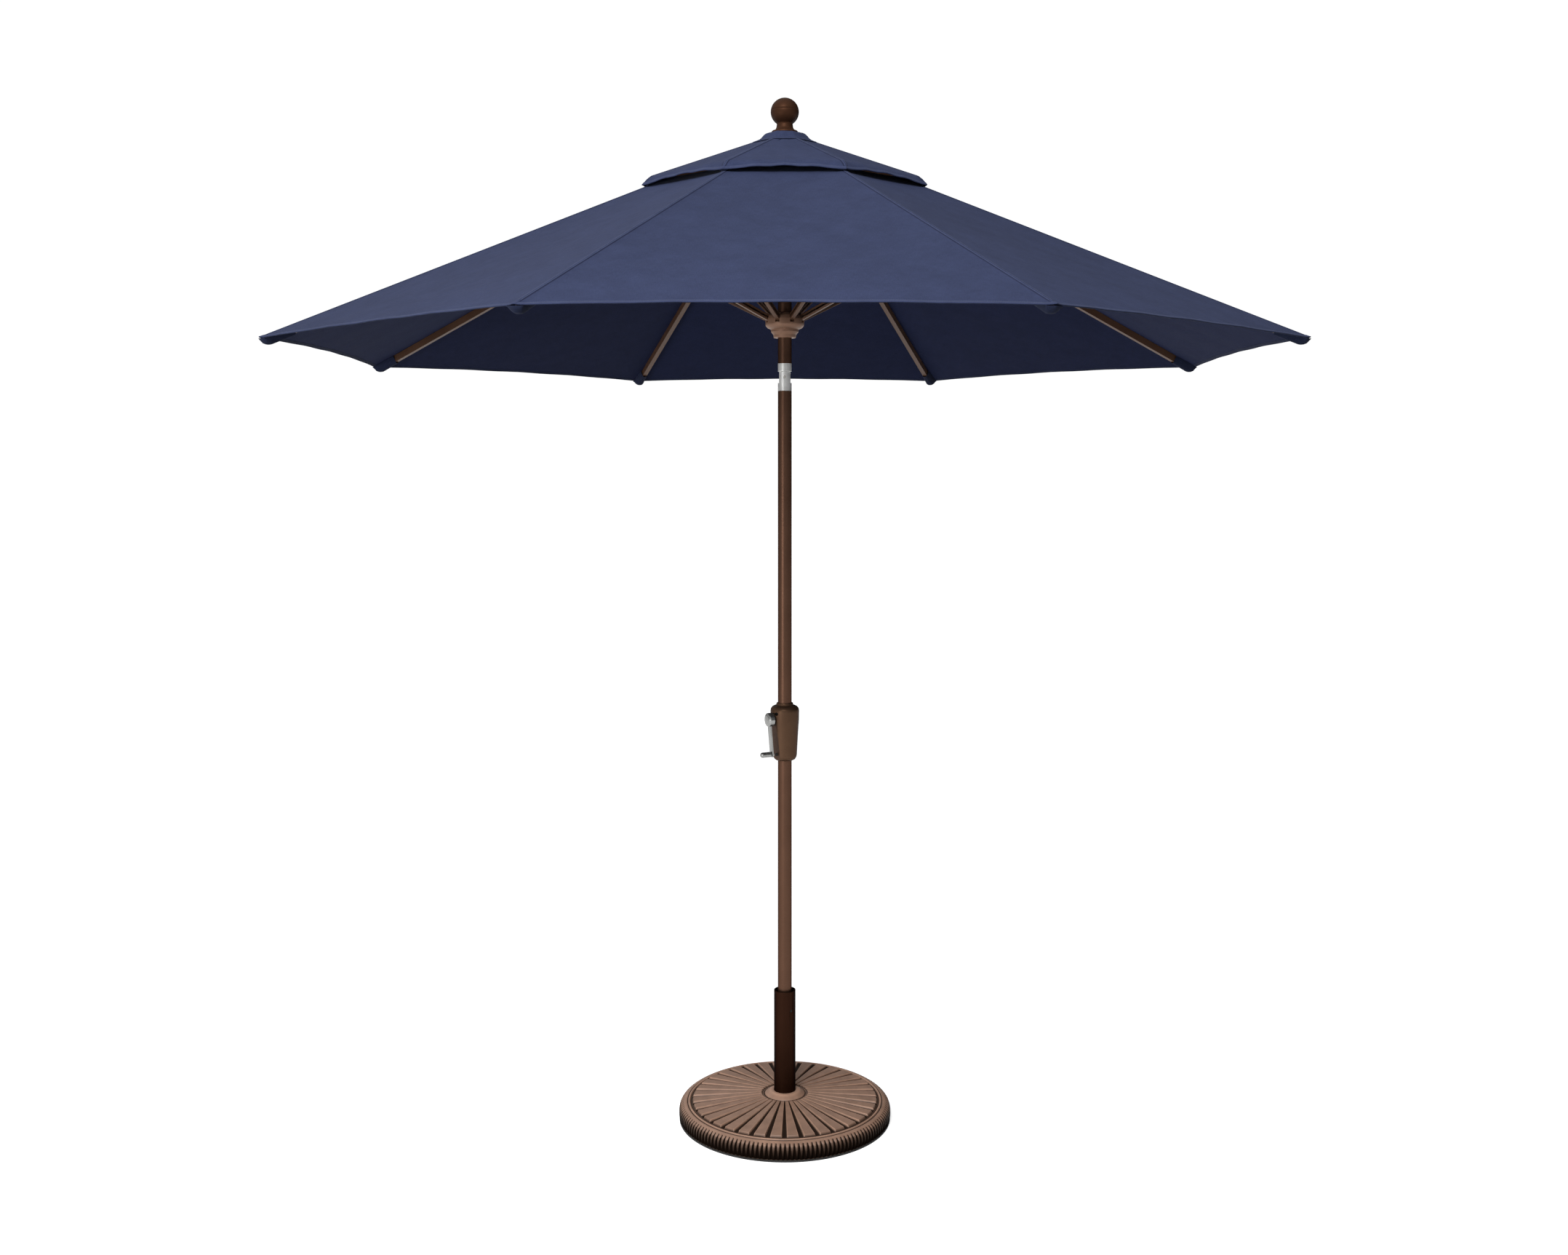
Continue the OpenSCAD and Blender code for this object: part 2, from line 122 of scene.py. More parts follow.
def closed_sheet(name, top, low, uv, materials, creases=()):
    """A thin closed sheet from two grids: its lower face takes the second material, creases the third."""
    rows, cols = top.shape[:2]
    count = rows * cols
    verts = np.concatenate([top.reshape(-1, 3), low.reshape(-1, 3)])
    faces, mats = [], []
    for r in range(rows - 1):
        for c in range(cols - 1):
            a, b = r * cols + c, r * cols + c + 1
            d, e = a + cols, b + cols
            faces.append((a, b, e, d))
            mats.append(2 if c in creases else 0)
            faces.append((count + a, count + d, count + e, count + b))
            mats.append(1)
    edge = [(0, c) for c in range(cols)]
    edge += [(r, cols - 1) for r in range(1, rows)]
    edge += [(rows - 1, c) for c in range(cols - 2, -1, -1)]
    edge += [(r, 0) for r in range(rows - 2, 0, -1)]
    ring = [r * cols + c for r, c in edge]
    for a, b in zip(ring, ring[1:] + ring[:1]):
        faces.append((a, count + a, count + b, b))
        mats.append(0)
    flat_uv = np.asarray(uv).reshape(-1, 2)
    return mesh_object(name, verts, faces, materials, mats, 50.0, np.concatenate([flat_uv, flat_uv]))


def loft(name, rings, materials, wrap=False, sharp=40.0, uv=None):
    """A closed solid through rings of points, open ended and capped, or wrapped round on itself."""
    rings = np.asarray(rings, float)
    n, k = rings.shape[:2]
    faces = []
    for i in range(n if wrap else n - 1):
        j = (i + 1) % n
        for a in range(k):
            b = (a + 1) % k
            faces.append((i * k + a, i * k + b, j * k + b, j * k + a))
    if not wrap:
        faces.append(tuple(range(k))[::-1])
        faces.append(tuple((n - 1) * k + a for a in range(k)))
    return mesh_object(name, rings.reshape(-1, 3), faces, materials, None, sharp, uv)


def lathe(name, profile, materials, steps=96, centre=(0.0, 0.0), sharp=35.0):
    """A turned solid: a closed outline of (radius, height) in millimetres, spun about a vertical axis."""
    rings = []
    for i in range(steps):
        a = 2 * math.pi * i / steps
        rings.append([
            (centre[0] + r * MM * math.cos(a), centre[1] + r * MM * math.sin(a), z * MM)
            for r, z in profile
        ])
    obj = loft(name, rings, materials, wrap=True, sharp=sharp)
    weld_axis(obj)
    return obj


def weld_axis(obj):
    """Joins the points of a turned solid that lie on its axis."""
    bm = bmesh.new()
    bm.from_mesh(obj.data)
    bmesh.ops.remove_doubles(bm, verts=bm.verts, dist=2e-6)
    bmesh.ops.dissolve_degenerate(bm, edges=bm.edges, dist=1e-7)
    bmesh.ops.recalc_face_normals(bm, faces=bm.faces)
    bm.to_mesh(obj.data)
    bm.free()


def stitches(name, path, normals, sides, materials, pitch=4.2, length=2.9, wide=0.55, high=0.4):
    """Thread stitches along a path of points, each a small rounded bar lying on the cloth."""
    path, normals, sides = (np.asarray(x, float) for x in (path, normals, sides))
    step = np.linalg.norm(np.diff(path, axis=0), axis=1)
    along = np.concatenate([[0.0], np.cumsum(step)])
    verts, faces = [], []
    count = int((along[-1] - 2 * MM) / (pitch * MM))
    for k in range(count):
        s0 = MM + k * pitch * MM
        ends = []
        for s in (s0, s0 + length * MM):
            ends.append([np.interp(s, along, path[:, x]) for x in range(3)])
        middle = s0 + length * MM / 2
        up = np.array([np.interp(middle, along, normals[:, x]) for x in range(3)])
        out = np.array([np.interp(middle, along, sides[:, x]) for x in range(3)])
        a, b = np.array(ends[0]), np.array(ends[1])
        base = len(verts)
        for p, taper in ((a, 0.0), (a + (b - a) * 0.2, 1.0), (b - (b - a) * 0.2, 1.0), (b, 0.0)):
            for x, z in ((-1, 0), (-0.6, 1), (0.6, 1), (1, 0)):
                lift = (0.15 + z * taper * 0.85) * high * MM
                verts.append(p + out * x * wide * MM / 2 + up * (lift - 0.15 * MM))
        for j in range(3):
            for q in range(3):
                v = base + j * 4 + q
                faces.append((v, v + 1, v + 5, v + 4))
            faces.append((base + j * 4 + 3, base + j * 4, base + j * 4 + 4, base + j * 4 + 7))
        faces.append((base + 3, base + 2, base + 1, base))
        faces.append((base + 12, base + 13, base + 14, base + 15))
    return mesh_object(name, verts, faces, materials, None, 60.0)


# ---------------------------------------------------------------- finishes


def linear(r, g, b):
    """An 8-bit screen colour as linear light."""
    def one(v):
        v /= 255.0
        return v / 12.92 if v <= 0.04045 else ((v + 0.055) / 1.055) ** 2.4
    return (one(r), one(g), one(b), 1.0)


class Shader:
    """A material's node tree, with short calls for the nodes that the finishes share."""

    def __init__(self, name):
        self.material = bpy.data.materials.new(name)
        self.material.use_nodes = True
        self.tree = self.material.node_tree
        self.tree.nodes.clear()
        self.out = self.tree.nodes.new("ShaderNodeOutputMaterial")
        self.surface = self.tree.nodes.new("ShaderNodeBsdfPrincipled")
        self.join(self.surface.outputs[0], self.out.inputs[0])

    def join(self, a, b):
        self.tree.links.new(a, b)

    def set(self, **values):
        for key, value in values.items():
            self.surface.inputs[key.replace("_", " ")].default_value = value

    def math(self, operation, a, b=None, c=None, clamp=False):
        node = self.tree.nodes.new("ShaderNodeMath")
        node.operation = operation
        node.use_clamp = clamp
        for socket, value in zip(node.inputs, (a, b, c)):
            if value is None:
                continue
            if isinstance(value, (int, float)):
                socket.default_value = value
            else:
                self.join(value, socket)
        return node.outputs[0]

    def place(self, kind="Object", scale=(1.0, 1.0, 1.0)):
        node = self.tree.nodes.new("ShaderNodeTexCoord")
        mapping = self.tree.nodes.new("ShaderNodeMapping")
        mapping.inputs["Scale"].default_value = scale
        self.join(node.outputs[kind], mapping.inputs[0])
        return mapping.outputs[0]

    def cloth_uv(self, scale=(1.0, 1.0, 1.0)):
        node = self.tree.nodes.new("ShaderNodeUVMap")
        node.uv_map = "cloth"
        mapping = self.tree.nodes.new("ShaderNodeMapping")
        mapping.inputs["Scale"].default_value = scale
        self.join(node.outputs[0], mapping.inputs[0])
        return mapping.outputs[0]

    def noise(self, vector, scale, detail=3.0, rough=0.5):
        node = self.tree.nodes.new("ShaderNodeTexNoise")
        node.inputs["Scale"].default_value = scale
        node.inputs["Detail"].default_value = detail
        node.inputs["Roughness"].default_value = rough
        self.join(vector, node.inputs["Vector"])
        return node.outputs[0]

    def ramp(self, value, stops):
        node = self.tree.nodes.new("ShaderNodeValToRGB")
        elements = node.color_ramp.elements
        while len(elements) < len(stops):
            elements.new(0.5)
        for element, (at, colour) in zip(elements, stops):
            element.position = at
            element.color = colour if len(colour) == 4 else (*colour, 1.0)
        self.join(value, node.inputs[0])
        return node.outputs[0]

    def mix(self, share, a, b, blend="MIX"):
        node = self.tree.nodes.new("ShaderNodeMix")
        node.data_type = "RGBA"
        node.blend_type = blend
        for socket, value in ((node.inputs[0], share), (node.inputs[6], a), (node.inputs[7], b)):
            if isinstance(value, (int, float)):
                socket.default_value = value
            elif isinstance(value, tuple):
                socket.default_value = value
            else:
                self.join(value, socket)
        return node.outputs[2]

    def bump(self, height, distance, strength=1.0, normal=None):
        node = self.tree.nodes.new("ShaderNodeBump")
        node.inputs["Strength"].default_value = strength
        node.inputs["Distance"].default_value = distance
        self.join(height, node.inputs["Height"])
        if normal is not None:
            self.join(normal, node.inputs["Normal"])
        return node.outputs[0]

    def colour(self, value):
        self.join(value, self.surface.inputs["Base Color"])

    def rough(self, value):
        self.join(value, self.surface.inputs["Roughness"])

    def normal(self, value):
        self.join(value, self.surface.inputs["Normal"])

    def worn(self, low=0.515, high=0.56):
        """1 on outer edges and 0 elsewhere, from how sharply the surface turns."""
        node = self.tree.nodes.new("ShaderNodeNewGeometry")
        turned = self.math("SUBTRACT", node.outputs["Pointiness"], low)
        return self.math("DIVIDE", turned, high - low, clamp=True)


def shade(colour, factor):
    return (colour[0] * factor, colour[1] * factor, colour[2] * factor, 1.0)


def painted(name, colour, rough=0.4, metallic=0.0, grain=420.0, depth=0.00006, flake=0.16,
            wear=0.5, gloss=0.5, tint=(1.0, 1.0, 1.0, 1.0)):
    """Powder coat: orange peel, fine speckle, slow mottling and rubbed outer edges."""
    s = Shader(name)
    at = s.place()
    mottle = s.noise(at, 9.0, 4.0, 0.6)
    speck = s.noise(at, 1500.0, 2.0, 0.7)
    body = s.ramp(mottle, [(0.3, shade(colour, 0.86)), (0.7, shade(colour, 1.14))])
    fine = s.ramp(speck, [(0.35, (1 - flake,) * 3), (0.68, (1 + flake,) * 3)])
    speckled = s.mix(1.0, body, fine, "MULTIPLY")
    streak = s.noise(s.place("Object", (60.0, 60.0, 6.0)), 1.0, 3.0, 0.6)
    edge = s.math("MULTIPLY", s.worn(), s.math("MULTIPLY", streak, wear))
    s.colour(s.mix(edge, speckled, shade(colour, 2.6)))
    s.rough(s.math("MULTIPLY_ADD", mottle, 0.16, rough - 0.08))
    s.set(Metallic=metallic, Specular_IOR_Level=gloss, Specular_Tint=tint)
    peel = s.noise(at, grain, 2.0, 0.5)
    s.normal(s.bump(speck, 0.00002, 0.4, s.bump(peel, depth)))
    return s.material


def bright(name, colour, rough=0.2, brush=(40.0, 40.0, 900.0), depth=0.00002, spread=0.12, metallic=1.0):
    """Bare metal with a brushed or rubbed grain and faint handling marks."""
    s = Shader(name)
    grain = s.noise(s.place("Object", brush), 1.0, 3.0, 0.6)
    smear = s.noise(s.place(), 28.0, 4.0, 0.65)
    s.colour(s.ramp(smear, [(0.3, shade(colour, 0.84)), (0.7, shade(colour, 1.08))]))
    s.rough(s.math("ADD", s.math("MULTIPLY_ADD", smear, spread, rough - spread / 2),
                   s.math("MULTIPLY", grain, 0.06)))
    s.set(Metallic=metallic)
    s.normal(s.bump(grain, depth, 0.6))
    return s.material


def moulded(name, colour, rough=0.45, grain=700.0, depth=0.00005):
    """Moulded plastic or rubber with a fine spark grain and dusty patches."""
    s = Shader(name)
    at = s.place()
    dust = s.noise(at, 22.0, 5.0, 0.65)
    s.colour(s.ramp(dust, [(0.35, shade(colour, 0.85)), (0.72, shade(colour, 1.35))]))
    s.rough(s.math("MULTIPLY_ADD", dust, 0.2, rough - 0.1))
    s.normal(s.bump(s.noise(at, grain, 2.0, 0.6), depth))
    return s.material


def woven(name, colour, sheen, thread=0.62):
    """Plain-weave cloth on a map in metres: crossing threads, slubs, heather and slow fading."""
    s = Shader(name)
    turn = 2 * math.pi / (2 * thread * MM)
    split = s.tree.nodes.new("ShaderNodeSeparateXYZ")
    s.join(s.cloth_uv(), split.inputs[0])
    across = s.math("SINE", s.math("MULTIPLY", split.outputs[0], turn))
    along = s.math("SINE", s.math("MULTIPLY", split.outputs[1], turn))
    weave = s.math("MULTIPLY_ADD", s.math("MULTIPLY", across, along), 0.5, 0.5)
    warp = s.noise(s.cloth_uv((1100.0, 55.0, 1.0)), 1.0, 3.0, 0.6)
    weft = s.noise(s.cloth_uv((55.0, 1100.0, 1.0)), 1.0, 3.0, 0.6)
    threads = s.math("MULTIPLY_ADD", warp, 0.5, s.math("MULTIPLY", weft, 0.5))
    fade = s.noise(s.place(), 2.2, 4.0, 0.55)
    base = s.ramp(threads, [(0.36, shade(colour, 0.80)), (0.5, shade(colour, 1.0)),
                            (0.64, shade(colour, 1.24))])
    cloudy = s.math("MULTIPLY_ADD", s.noise(s.place(), 17.0, 5.0, 0.6), 0.6, s.math("MULTIPLY", fade, 0.4))
    slow = s.ramp(cloudy, [(0.36, (0.90,) * 3), (0.64, (1.10,) * 3)])
    worn_cloth = s.mix(1.0, base, slow, "MULTIPLY")
    gaps = s.ramp(weave, [(0.0, (0.86,) * 3), (1.0, (1.08,) * 3)])
    s.colour(s.mix(1.0, worn_cloth, gaps, "MULTIPLY"))
    s.rough(s.math("MULTIPLY_ADD", threads, 0.12, 0.78))
    s.set(Sheen_Weight=sheen, Sheen_Roughness=0.45, Specular_IOR_Level=0.05)
    crumple = s.bump(s.noise(s.place(), 13.0, 4.0, 0.55), 0.0035, 0.5)
    slub = s.bump(threads, 0.00014, 0.7, crumple)
    s.normal(s.bump(weave, 0.00010, 0.7, slub))
    return s.material


def braided(name, colour):
    """Braided cord: two crossing spirals of yarn."""
    s = Shader(name)
    split = s.tree.nodes.new("ShaderNodeSeparateXYZ")
    s.join(s.place(), split.inputs[0])
    ring = s.math("ARCTAN2", split.outputs[1], split.outputs[0])
    up = s.math("MULTIPLY", split.outputs[2], 2100.0)
    left = s.math("SINE", s.math("MULTIPLY_ADD", ring, 4.0, up))
    right = s.math("SINE", s.math("MULTIPLY_ADD", ring, -4.0, up))
    yarn = s.math("MULTIPLY_ADD", s.math("MAXIMUM", left, right), 0.5, 0.5)
    s.colour(s.ramp(yarn, [(0.1, shade(colour, 0.5)), (0.8, shade(colour, 1.3))]))
    s.set(Roughness=0.8)
    s.normal(s.bump(yarn, 0.0002))
    return s.material


def cast(name, colour):
    """Cast iron under antique paint: pitted skin; the mesh's map paints highlights on its edges and high spots and
    shade in its recesses and low down.
    """
    s = Shader(name)
    at = s.place()
    height = s.tree.nodes.new("ShaderNodeAttribute")
    height.attribute_name = "painted_shading"
    mottle = s.noise(at, 34.0, 5.0, 0.65)
    pits = s.noise(at, 620.0, 3.0, 0.6)
    body = s.ramp(mottle, [(0.3, shade(colour, 0.80)), (0.72, shade(colour, 1.16))])
    # Painted highlight: the map's positive values lighten edges and high spots
    painted_highlight = s.math("MULTIPLY", height.outputs["Fac"], s.math("MULTIPLY_ADD", mottle, 0.9, 0.25), clamp=True)
    high = s.mix(painted_highlight, body, shade(colour, 1.9))
    # Painted shade: the map's negative values darken recesses, gaps, the underside and the rim's bottom, and take
    # their specular away
    low = s.math("MULTIPLY", s.math("MULTIPLY", height.outputs["Fac"], -1.0, clamp=True), 1.0)
    s.colour(s.mix(low, high, shade(colour, 0.03)))
    s.rough(s.math("MULTIPLY_ADD", pits, 0.22, 0.36))
    s.join(s.math("MULTIPLY_ADD", low, -0.4, 0.4), s.surface.inputs["Specular IOR Level"])
    s.normal(s.bump(pits, 0.00022, 0.55, s.bump(mottle, 0.0006, 0.3)))
    return s.material


NAVY = linear(48, 55, 82)
BRONZE = linear(82, 59, 47)
EDGE_TINT = (0.16, 0.11, 0.09, 1.0)

finish = {
    "cast_base": cast("cast_base", linear(143, 112, 94)),
    "stem_paint": painted("stem_paint", linear(44, 26, 18), 0.42, 0.85, 380.0, 0.00008, 0.2, 0.2, 0.1,
                          (0.08, 0.05, 0.04, 1.0)),
    "rubber": moulded("rubber", linear(38, 37, 36), 0.8),
    "black_plastic": moulded("black_plastic", linear(30, 29, 28), 0.5),
    "zinc_steel": bright("zinc_steel", linear(190, 188, 182), 0.34, (300.0, 300.0, 300.0)),
    "mast_paint": painted("mast_paint", BRONZE, 0.36, 0.8, 460.0, 0.00005, 0.14, 0.3, 0.12, EDGE_TINT),
    "rib_paint": painted("rib_paint", linear(98, 68, 49), 0.46, 0.1, 460.0, 0.00005, 0.14, 0.3, 0.3),
    "bronze_cast": painted("bronze_cast", linear(146, 111, 90), 0.46, 0.2, 260.0, 0.0001, 0.2, 0.4, 0.25),
    "bronze_plastic": painted("bronze_plastic", linear(88, 66, 51), 0.4, 0.5, 700.0, 0.00004, 0.1,
                              0.2, 0.2, EDGE_TINT),
    "spigot_metal": bright("spigot_metal", linear(180, 180, 178), 0.38),
    "black_screw": painted("black_screw", linear(30, 27, 25), 0.55, 0.2, 900.0, 0.00004, 0.2, 0.2, 0.2),
    "bright_metal": bright("bright_metal", linear(242, 242, 239), 0.32, (30.0, 30.0, 420.0), metallic=0.5),
    "crank_metal": bright("crank_metal", linear(150, 150, 148), 0.24, (260.0, 260.0, 60.0), metallic=0.85),
    "cord": braided("cord", linear(48, 46, 44)),
    "canopy_cloth": woven("canopy_cloth", NAVY, 0.03),
}
# Painted shade: the lower faces take a darker, bluer copy of the cloth
shaded_cloth_under = woven("canopy_under_shaded", linear(38, 46, 82), 0.02)
# Painted shade: a darker copy of the cloth for the felled seams' creases
crease_shade_cloth = woven("canopy_crease_shade", linear(36, 41, 63), 0.02)
# Painted highlight: a lighter copy of the cloth for the hems and vent ties
highlit_cloth_hem = woven("canopy_hem_highlit", linear(54, 61, 89), 0.04, 0.5)
thread_navy = woven("sewing_thread", linear(84, 92, 118), 0.1, 0.3)
# The cloth for top faces, lower faces in painted shade, and seam creases in painted shade
CLOTH = [finish["canopy_cloth"], shaded_cloth_under, crease_shade_cloth]

slot_of = {row["node"]: row["material_slot"] for row in frame["record"]["subparts"]}
for node_name, obj in frame["nodes"].items():
    obj.data.materials.clear()
    obj.data.materials.append(finish[slot_of[node_name]])
# The stem's screws are blackened
stem_screws = frame["nodes"]["stem_screws"].data.materials
stem_screws.clear()
stem_screws.append(finish["black_screw"])

# ---------------------------------------------------------------- CAD nodes: rounded edges

EDGE = {
    "crank_housing_front": 1.2, "crank_housing_rear": 1.2, "hub": 1.0, "runner": 1.0,
    "crank_arm": 0.9, "clamp_knob": 1.0, "tilt_fork": 0.5, "tilt_tongue": 0.5,
    "base_stem": 0.7, "lower_pole": 0.4, "upper_pole": 0.4, "top_pole": 0.4,
}
for node_name, obj in frame["nodes"].items():
    if node_name.startswith("cover_") or node_name in ("crown_cloth", "finial", "base_plate"):
        continue
    if "custom_normal" in obj.data.attributes:
        obj.data.attributes.remove(obj.data.attributes["custom_normal"])
    obj.data.polygons.foreach_set("use_smooth", np.ones(len(obj.data.polygons), bool))
    weld = obj.modifiers.new("weld", "WELD")
    weld.merge_threshold = 1e-6
    width = EDGE.get(node_name, 1.1 if node_name[:4] in ("rib_", "stru") else 0.3)
    bevel = obj.modifiers.new("rounded_edges", "BEVEL")
    bevel.width = width * MM
    bevel.segments = 2
    bevel.limit_method = "ANGLE"
    bevel.angle_limit = math.radians(32)
    bevel.use_clamp_overlap = True
    weighted = obj.modifiers.new("flat_faces", "WEIGHTED_NORMAL")
    weighted.keep_sharp = True

# ---------------------------------------------------------------- cover

joint = {j["name"]: j for j in frame["joints"]}
VENT_SLOPE = math.radians(21.2)
VENT_RISE = 29.0 * MM


class Tier:
    """Flat panels from their peak on the axis: e along the rib, t across it, b out of the cloth."""

    def __init__(self, rib, peak, slope):
        outward = np.array([rib.e[0], rib.e[1], 0.0]) / math.cos(rib.slope)
        self.peak, self.t = peak, rib.t
        self.e = outward * math.cos(slope) - np.array([0.0, 0.0, math.sin(slope)])
        self.b = np.cross(self.e, self.t)
        self.psi = math.atan(math.tan(math.pi / RIBS) * math.sin(slope))

    def across(self, side):
        """In the panel's plane, straight away from the rib."""
        return side * math.cos(self.psi) * self.t - math.sin(self.psi) * self.b

    def up(self, side):
        return side * math.sin(self.psi) * self.t + math.cos(self.psi) * self.b

    def point(self, s, p, lift, side, over_rib=0.0):
        """s from the peak along the rib, p away from it in the panel, lift out of the panel."""
        return (self.peak + self.b * over_rib + self.e * s
                + self.across(side) * p + self.up(side) * lift)


class RibFrame:
    """The open rib's own axes, taken from its joints: e along it, t across it, b out of the cover."""

    def __init__(self, i):
        self.o = np.array(joint[f"rib_{i}_fold"]["pos_m"], float)
        self.t = -np.array(joint[f"rib_{i}_fold"]["axis"], float)
        self.t /= np.linalg.norm(self.t)
        self.e = np.array(joint[f"cover_{i}_right_fold"]["axis"], float)
        self.e /= np.linalg.norm(self.e)
        self.b = np.cross(self.e, self.t)
        self.slope = math.asin(-self.e[2])
        self.psi = math.atan(math.tan(math.pi / RIBS) * math.sin(self.slope))
        hinge = np.array(joint[f"cover_{i}_right_fold"]["pos_m"], float) - self.o
        self.fold_p = float(hinge @ self.t) / math.cos(self.psi)
        self.cloth_n = float(hinge @ self.b) + self.fold_p * math.sin(self.psi)
        pivot_r = math.hypot(self.o[0], self.o[1])
        self.peak = -(pivot_r + self.cloth_n * math.sin(self.slope)) / math.cos(self.slope)
        self.main = Tier(self, self.o + self.b * self.cloth_n + self.e * self.peak, self.slope)
        self.vent = Tier(self, np.array([0.0, 0.0, self.o[2] + VENT_RISE]), VENT_SLOPE)


rib_frames = [RibFrame(i) for i in range(1, RIBS + 1)]
first = rib_frames[0]
FOLD_P = first.fold_p
cover_r = cad_high[0] / math.cos(math.pi / RIBS)
SHEET_T = 0.8 * MM


class Layer:
    """One tier of the cover: the main cover or the vent cap."""

    def __init__(self, slope, near_r, far_r, hem, rows, cols, strip_p, wing_p):
        self.eta = math.asin(math.cos(slope) * math.sin(math.pi / RIBS))
        self.near = near_r / math.cos(slope) * math.cos(self.eta)
        self.far = far_r / math.cos(slope) * math.cos(self.eta)
        self.hem, self.rows, self.cols = hem, rows, cols
        self.strip_p, self.wing_p = strip_p, wing_p

    def lift(self, m, w):
        """Height of the cloth out of the flat panel; w is 0 at the rib and 1 at the panel's middle."""
        raise NotImplementedError

    def shape(self, f, p=None, v=None):
        """(s, p, lift, q, m) at row share f: at p from the rib, or at share v from fold to middle."""
        m0 = self.near + f * (self.far - self.near)
        half = m0 * math.tan(self.eta)
        if v is not None:
            q = (1 - v) * (half - self.wing_p / math.cos(self.eta))
        else:
            q = half - p / math.cos(self.eta)
        ratio = q / half
        w = 1 - ratio * ratio
        m = m0 - self.scallop * f ** 3 * w
        s = m * math.cos(self.eta) + q * math.sin(self.eta)
        p_new = m * math.sin(self.eta) - q * math.cos(self.eta)
        return s, p_new, self.lift(f, ratio, w), q, m


class Main(Layer):
    """The main cover, hollow between its ribs and drawn tight along its hem."""

    scallop = 16 * MM

    def tier(self, rib):
        return rib.main

    def lift(self, f, ratio, w):
        sag = -9.0 * w * math.sin(math.pi * (0.1 + 0.9 * f))
        ripple = 0.7 * w * math.cos(5 * math.pi * ratio) * f ** 4
        return (sag + ripple) * MM


class Vent(Layer):
    """The vent cap, which swells a little between its ribs and turns down at its edge."""

    scallop = 8 * MM

    def tier(self, rib):
        return rib.vent

    def lift(self, f, ratio, w):
        belly = 2.4 * w * f * f
        wave = 1.2 * w * math.cos(4 * math.pi * ratio) * f ** 3
        fall = (14.0 - 6.0 * w) * max(0.0, (f - 0.91) / 0.09) ** 1.5
        return (belly + wave - fall) * MM


# Radii of the opening under the vent cap, and of the cap's inner and outer edges
opening_r = 0.300
vent_inner_r = 0.067
vent_r = 0.383
main = Main(first.slope, opening_r, cover_r, 11 * MM, 30, 13, FOLD_P, FOLD_P)
vent = Vent(VENT_SLOPE, vent_inner_r, vent_r, 8 * MM, 18, 9, FOLD_P + 6.5 * MM, FOLD_P - 3 * MM)


def over_rib(p):
    """How much the cloth and its felled seam stand over the rib, at p across it."""
    x = abs(p) / MM
    table = [(0, 1.7), (4.6, 1.7), (5.2, 0.95), (7.4, 0.85), (10, 0.45), (14, 0.12), (18.9, 0.0)]
    base = np.interp(x, [a for a, _ in table], [b for _, b in table])
    return base * MM


def wing_grid(rib, side, layer, thick, fs, vs):
    """Points, map and outward lifts of a half panel."""
    grid = np.zeros((len(fs), len(vs), 3))
    uv = np.zeros((len(fs), len(vs), 2))
    for r, f in enumerate(fs):
        for c, v in enumerate(vs):
            s, p, lift, q, m = layer.shape(f, v=v)
            grid[r, c] = layer.tier(rib).point(s, p, lift + thick, side)
            uv[r, c] = (side * q, m)
    return grid, uv


def strip_point(rib, layer, f, p, thick):
    side = 1 if p >= 0 else -1
    s, p_new, lift, _, _ = layer.shape(f, p=abs(p))
    return layer.tier(rib).point(s, p_new, lift + thick, side, over_rib(p)), (p, s)


def strip_grid(rib, layer, thick, fs, ps):
    grid = np.zeros((len(fs), len(ps), 3))
    uv = np.zeros((len(fs), len(ps), 2))
    for r, f in enumerate(fs):
        for c, p in enumerate(ps):
            grid[r, c], uv[r, c] = strip_point(rib, layer, f, p, thick)
    return grid, uv


def hem_rings(points, inward, up, depth):
    """Rings of a folded hem round an edge: points on the sheet's lower face at the edge."""
    outline = [
        (-1.0, 0.9), (-0.4, 1.7), (0.6, 2.1), (2.0, 1.7), (depth / MM - 1.2, 1.45),
        (depth / MM, 0.9), (depth / MM, -0.15), (depth / MM - 1.2, -0.7), (2.0, -0.9),
        (0.6, -1.3), (-0.4, -0.9), (-1.0, 0.0),
    ]
    rings, uv = [], []
    for k, (point, inn, n) in enumerate(zip(points, inward, up)):
        rings.append([point + inn * x * MM + n * z * MM for x, z in outline])
        uv += [(k * 0.02, x * MM) for x, _ in outline]
    return rings, uv


# Columns of a seam's strip, in millimetres from the rib's middle
PS = [0, 2.4, 4.6, 5.2, 7.4, 10, 14, 18.9]


def gather(obj, rib, side):
    """Gives the piece its own copy of its mesh."""
    anchor = rib.main.point(0.6, FOLD_P, 0.0, side)
    tuple(rib.main.across(side))
    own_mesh(obj)


